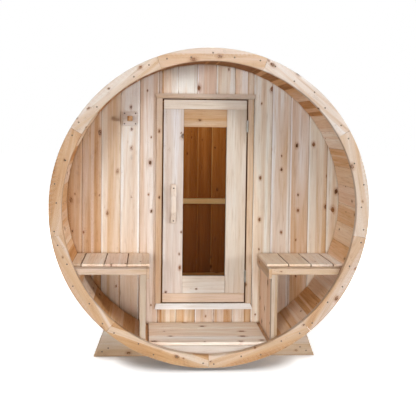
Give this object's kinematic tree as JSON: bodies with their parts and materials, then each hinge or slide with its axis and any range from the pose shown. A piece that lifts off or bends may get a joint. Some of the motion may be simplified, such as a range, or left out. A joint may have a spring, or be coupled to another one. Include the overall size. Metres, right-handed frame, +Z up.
{
  "type": "barrel sauna",
  "caption": "Round wooden barrel sauna on two cradles, with a recessed porch, slatted benches on both sides and a framed glass door that swings out.",
  "frame": {"origin": "centre of the footprint's box, on the ground under the barrel", "axes": "+X to the right seen from the porch, +Y along the barrel from the porch to the back, +Z up"},
  "size_m": [1.956, 2.134, 1.974],
  "materials": {
    "ring_cedar": "planed, unfinished",
    "stave_cedar": "planed, unfinished",
    "wall_cedar": "planed, unfinished",
    "floor_cedar": "planed, unfinished",
    "bench_cedar": "planed, unfinished",
    "trim_cedar": "planed, unfinished",
    "door_cedar": "planed, unfinished",
    "cradle_cedar": "planed, unfinished",
    "door_glass": "bronze tint",
    "band_steel": "satin",
    "hinge_steel": "satin"
  },
  "bodies": {
    "barrel": {"front_ring": "ring_cedar", "back_ring": "ring_cedar", "staves_roof": "stave_cedar", "staves_upper_right": "stave_cedar", "staves_lower_right": "stave_cedar", "staves_floor": "stave_cedar", "staves_lower_left": "stave_cedar", "staves_upper_left": "stave_cedar", "steel_bands": "band_steel", "front_wall_left": "wall_cedar", "front_wall_right": "wall_cedar", "front_wall_over_door": "wall_cedar", "front_wall_under_door": "wall_cedar", "back_wall": "wall_cedar", "back_wall_batten": "trim_cedar", "porch_floor": "floor_cedar", "porch_riser": "floor_cedar", "cabin_floor": "floor_cedar", "left_bench_slats": "bench_cedar", "left_bench_front_rail": "bench_cedar", "left_bench_wall_cleat": "bench_cedar", "left_bench_post": "bench_cedar", "left_bench_side_rail": "bench_cedar", "left_bench_side_panel": "bench_cedar", "right_bench_slats": "bench_cedar", "right_bench_front_rail": "bench_cedar", "right_bench_wall_cleat": "bench_cedar", "right_bench_post": "bench_cedar", "right_bench_side_rail": "bench_cedar", "right_bench_side_panel": "bench_cedar", "door_casings": "trim_cedar", "door_head": "trim_cedar", "door_sill": "trim_cedar", "door_stops": "trim_cedar", "hinge_frame_leaves": "hinge_steel", "robe_hook_plate": "trim_cedar", "robe_hook_peg": "trim_cedar", "cradle_lower_boards": "cradle_cedar", "cradle_upper_boards": "cradle_cedar"},
    "door": {"door_stiles": "door_cedar", "door_end_rails": "door_cedar", "door_inner_rails": "door_cedar", "door_glass": "door_glass", "door_pull": "door_cedar", "hinge_door_leaves": "hinge_steel"}
  },
  "joints": [
    {"name": "door_swing", "type": "hinge", "parent": "barrel", "child": "door", "pos_m": [0.2825, -0.6355, 0.9945], "axis": [0, 0, 1], "range_deg": [0, 90]}
  ]
}
